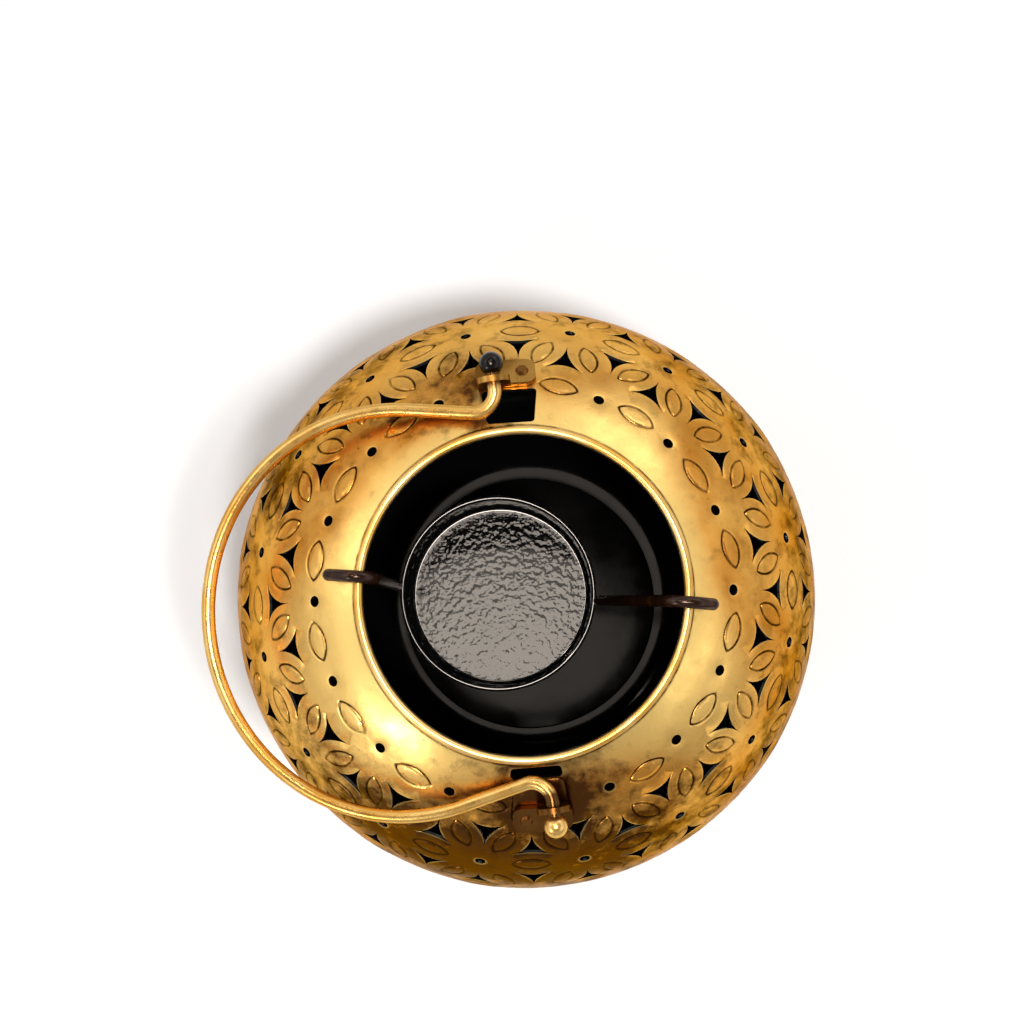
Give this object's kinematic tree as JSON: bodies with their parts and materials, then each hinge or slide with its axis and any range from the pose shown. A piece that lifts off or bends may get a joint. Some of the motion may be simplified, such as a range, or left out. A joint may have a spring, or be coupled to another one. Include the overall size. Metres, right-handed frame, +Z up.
{
  "type": "hanging lantern",
  "caption": "Round pierced-metal tealight lantern with a folding wire bail and a candle cup that hangs inside its open mouth by wire hooks.",
  "frame": {"origin": "centre of the base's underside, on the surface the lantern stands on", "axes": "+Z up; the bail turns about a line along Y and lies folded towards -X; the cup's hooks are near the X axis"},
  "size_m": [0.1276, 0.125, 0.0948],
  "materials": {
    "shell_gold": "antiqued gold lacquer, satin",
    "wire_gold": "gold lacquer, satin",
    "lug_brown": "antiqued gold lacquer, dark",
    "black_enamel": "gloss black",
    "hook_brown": "dark brown lacquer, satin"
  },
  "bodies": {
    "lantern": {"upper_shell": "shell_gold", "lower_shell": "shell_gold", "base_plate": "black_enamel", "lip_ring": "wire_gold", "bail_lug_back": "lug_brown", "bail_lug_front": "lug_brown", "lug_rivets": "lug_brown"},
    "bail": {"bail_wire": "wire_gold", "bail_bead_back": "wire_gold", "bail_bead_front": "wire_gold"},
    "cup": {"candle_cup": "black_enamel", "cup_hook_left": "hook_brown", "cup_hook_right": "hook_brown"}
  },
  "joints": [
    {"name": "bail_swing", "type": "hinge", "parent": "lantern", "child": "bail", "pos_m": [0, 0, 0.09162], "axis": [0, 1, 0], "range_deg": [0, 210]},
    {"name": "cup_lift", "type": "slide", "parent": "lantern", "child": "cup", "axis": [0, 0, 1], "range_m": [0, 0.09]}
  ]
}
